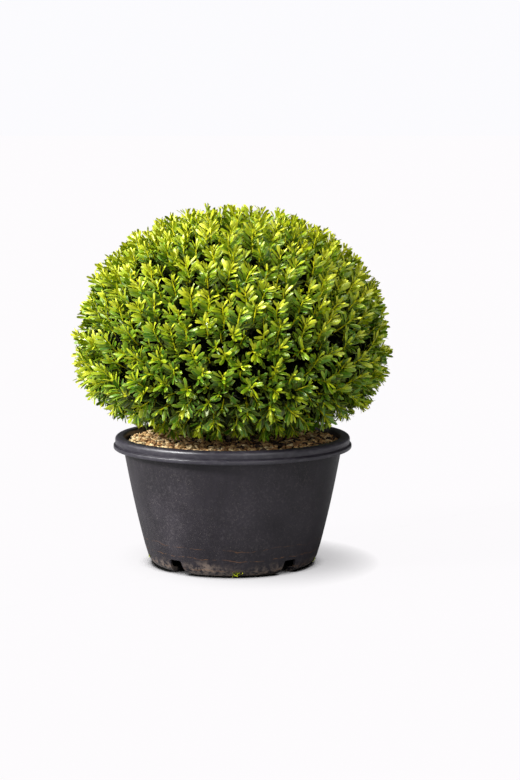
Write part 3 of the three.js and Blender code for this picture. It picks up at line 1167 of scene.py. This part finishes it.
def turned_chip(verts, yaw, tilt, roll):
    """A chip's points after it rolls, tips and turns."""
    cy, sy, ct, st, cr, sr = (f(a) for a in (yaw, tilt, roll) for f in (cos, sin))
    about_z = np.array(((cy, -sy, 0), (sy, cy, 0), (0, 0, 1)))
    about_y = np.array(((ct, 0, st), (0, 1, 0), (-st, 0, ct)))
    about_x = np.array(((1, 0, 0), (0, cr, -sr), (0, sr, cr)))
    return verts @ (about_z @ about_y @ about_x).T


def chip_size():
    """A chip's length, width, thickness and raggedness. Some are long shreds, the rest flakes."""
    if spread(0.0, 1.0) < SHRED_SHARE:
        return spread(9, 19) * MM, spread(1.2, 2.2) * MM, spread(0.9, 1.6) * MM, 0.5
    length = spread(4.0, 10.5) * MM
    return length, length * spread(0.5, 0.85), spread(1.2, 2.6) * MM, 0.32


def chip_tone(out, aside):
    """A chip's place in CHIP_TONES: painted light and shade, paler towards the rim where the
    chips stand in light, darker to the right in the crown's shade.
    """
    # painted light and shade: out lightens chips near the rim, aside darkens those on the right
    lean = 0.9 * out - 0.4 * max(0.0, aside) + spread(-0.6, 0.6)
    last = len(CHIP_TONES) - 1
    return last - int(np.clip(round(lean * 2.6 + 0.3), 0, last))


def build_chips():
    """Bark chips and shreds, strewn over the bed."""
    edge = wall_inside(108 * MM) - 1.5 * MM
    sets = [[] for _ in CHIP_TONES]
    for _ in range(CHIP_COUNT):
        wanted = edge * sqrt(spread(0.02, 1.0))
        bearing = spread(0.0, 2 * pi)
        length, width, thickness, ragged = chip_size()
        radius = min(wanted, edge - length * 0.42)
        x, y = radius * cos(bearing), radius * sin(bearing)
        verts, faces = chip(length, width, thickness, ragged)
        yaw = spread(0.0, 2 * pi)
        verts = turned_chip(verts, yaw, spread(-0.5, 0.5), spread(-0.7, 0.7))
        lift = mulch_surface(x, y) + spread(-0.2, 1.9) * MM
        sets[chip_tone(wanted / edge, x / edge)].append((verts + (x, y, lift), faces))
    for (name, colours), parts in zip(CHIP_TONES.items(), sets):
        mesh_piece(name, *joined(parts), chip_material(name, *colours), "bark_chips")


# ---- Build: moss ----

# bearing in degrees from the front, height, half-width, half-height, number of blades
MOSS = (
    (3.5, 2.6 * MM, 4.8 * MM, 1.7 * MM, 190),
    (75.0, 5.0 * MM, 3.0 * MM, 1.6 * MM, 50),
    (-76.0, 8.0 * MM, 2.0 * MM, 0.9 * MM, 18),
)


def foot_outside(z):
    """The radius of the pot's outside, round its foot's corner too."""
    below = max(0.0, FOOT_CORNER - z)
    inset = FOOT_CORNER - sqrt(FOOT_CORNER**2 - below**2)
    return wall_outside(max(z, FOOT_CORNER * 0.8)) - inset


def moss_blade(bearing, height, half_width, half_height):
    """One blade's root, heading, upper side and length."""
    up = half_height * float(np.clip(rng.normal(), -1.8, 1.8)) * 0.6
    z = max(0.4 * MM, height + up)
    aside = half_width * float(np.clip(rng.normal() * 0.5, -1.0, 1.0))
    turn = radians(bearing) + aside / WALL_FOOT_RADIUS
    out = np.array((sin(turn), -cos(turn), 0.0))
    root = out * (foot_outside(z) - 0.3 * MM) + UP * z
    along = out + 0.9 * UP + 0.6 * rng.normal(size=3)
    return root, along, UP, spread(1.3, 2.5) * MM


def build_moss():
    """Small tufts that hold on to the pot's foot."""
    rows = [moss_blade(*place) for *place, blades in MOSS for _ in range(blades)]
    roots, along, upper, lengths = (np.array(column) for column in zip(*rows))
    blade = make_leaf(BLADE_COARSE, 1, 0.2)
    verts, faces, pale = placed_leaves(blade, roots, along, upper, lengths, np.ones(len(roots)))
    verts[:, 2] = np.maximum(verts[:, 2], 0.1 * MM)  # none goes below the floor
    look = leaf_material("moss", rgb(124, 148, 12), rgb(204, 212, 40), 0.3)
    mesh_piece("moss", verts, faces, look, "foliage", (), pale)


# ---- Stage ----


def openness(m, distance, closed, open_to, shaded, lit, towards=(0.0, 0.0, 1.0)):
    """How much light gets past what stands within distance, looking towards a side. The share of
    open sky between closed and open_to is carried to between shaded and lit."""
    way = m.add("CombineXYZ", dict(enumerate(towards)))
    inputs = {"Distance": distance, "Normal": way.outputs[0]}
    sky = m.add("AmbientOcclusion", inputs, samples=6)
    return m.ramp(sky.outputs["AO"], closed, open_to, shaded, lit)


AWAY_FROM_KEY = (-0.85, -0.4, 0.5)
PAPER_LIGHT = (1.0, 0.983, 1.0, 1.0)
PAPER_BOUNCE = (0.3, 0.3, 0.305, 1.0)  # how pale the floor is to the pot


def stage_material():
    """Pale paper, lit up for the camera. Its soft shadow leans away from the key light, and is
    black where the foot meets the floor."""
    m = Nodes("paper_floor")
    seen = m.add("LightPath").outputs["Is Camera Ray"]
    paper = m.mix(m.noise(3.0, 2.0), (0.009, 0.009, 0.009, 1.0), (0.011, 0.011, 0.011, 1.0))
    m.colour(m.mix(seen, PAPER_BOUNCE, paper))
    m.set(Roughness=0.9, Specular_IOR_Level=0.0, Emission_Color=PAPER_LIGHT)
    shadow = openness(m, 56 * MM, 0.3, 1.0, 0.45, 0.965, AWAY_FROM_KEY)
    hollow = openness(m, 20 * MM, 0.3, 0.46, 0.0, 1.0)
    contact = openness(m, 4 * MM, 0.5, 0.8, 0.0, 1.0)
    close = m.times(hollow, contact)
    glow = m.times(seen, m.times(shadow, close))
    m.feed(m.shader.inputs["Emission Strength"], glow)
    return m.material


def build_floor():
    """A floor that reaches past the horizon of every view."""
    half = 60.0
    corners = [(-half, -half, 0), (half, -half, 0), (half, half, 0), (-half, half, 0)]
    floor = object_from("floor", corners, [(0, 1, 2, 3)])
    floor.data.materials.append(stage_material())


# where each stands from the plant, its strength, and the angle that it fills, in degrees
SUNS = {
    "key": ((-0.9, -0.46, 0.6), 5.7, 12),
    "top": ((-0.1, 0.1, 1.0), 1.6, 40),
    "side": ((-1.0, -0.12, 0.3), 2.3, 60),
    "fill": ((0.35, -0.9, 0.4), 1.3, 50),
}
BACKDROP = (0.97, 0.965, 0.99, 1.0)
SKY_LIGHT = 0.07  # how strongly it lights the plant, beside how bright it looks


def build_suns():
    """Soft lights from far off."""
    for name, (towards, strength, angle) in SUNS.items():
        data = bpy.data.lights.new(name, "SUN")
        data.energy = strength
        data.angle = radians(angle)
        turn = Vector(towards).to_track_quat("Z", "Y")
        linked(name, data).rotation_euler = turn.to_euler()


def build_backdrop():
    """A pale world that looks bright and gives little light."""
    world = bpy.data.worlds.new("studio")
    world.use_nodes = True
    nodes, links = world.node_tree.nodes, world.node_tree.links
    background = nodes["Background"]
    background.inputs["Color"].default_value = BACKDROP
    path = nodes.new("ShaderNodeLightPath")
    strength = nodes.new("ShaderNodeMapRange")
    links.new(path.outputs["Is Camera Ray"], strength.inputs["Value"])
    strength.inputs["To Min"].default_value = SKY_LIGHT
    strength.inputs["To Max"].default_value = 1.0
    links.new(strength.outputs["Result"], background.inputs["Strength"])
    bpy.context.scene.world = world


CAMERA_PLACE = Vector((0.0, -1.9, 0.391))
CAMERA_AIM = Vector((0.0244, 0.0, 0.1547))
CAMERA_LENS = 99.4


def build_camera():
    """From the front, about seven degrees above level."""
    data = bpy.data.cameras.new("camera")
    data.lens = CAMERA_LENS
    data.sensor_width = 36.0
    camera = linked("camera", data)
    camera.location = CAMERA_PLACE
    aim = CAMERA_AIM - CAMERA_PLACE
    camera.rotation_euler = aim.to_track_quat("-Z", "Y").to_euler()
    bpy.context.scene.camera = camera


bpy.context.scene.view_settings.view_transform = "Standard"
build_camera()
build_backdrop()
build_suns()
build_floor()
build_pot()
build_compost()
build_mulch_bed()
build_chips()
shoots_by_layer = build_foliage()
build_twigs(build_limbs(), shoots_by_layer)
build_moss()
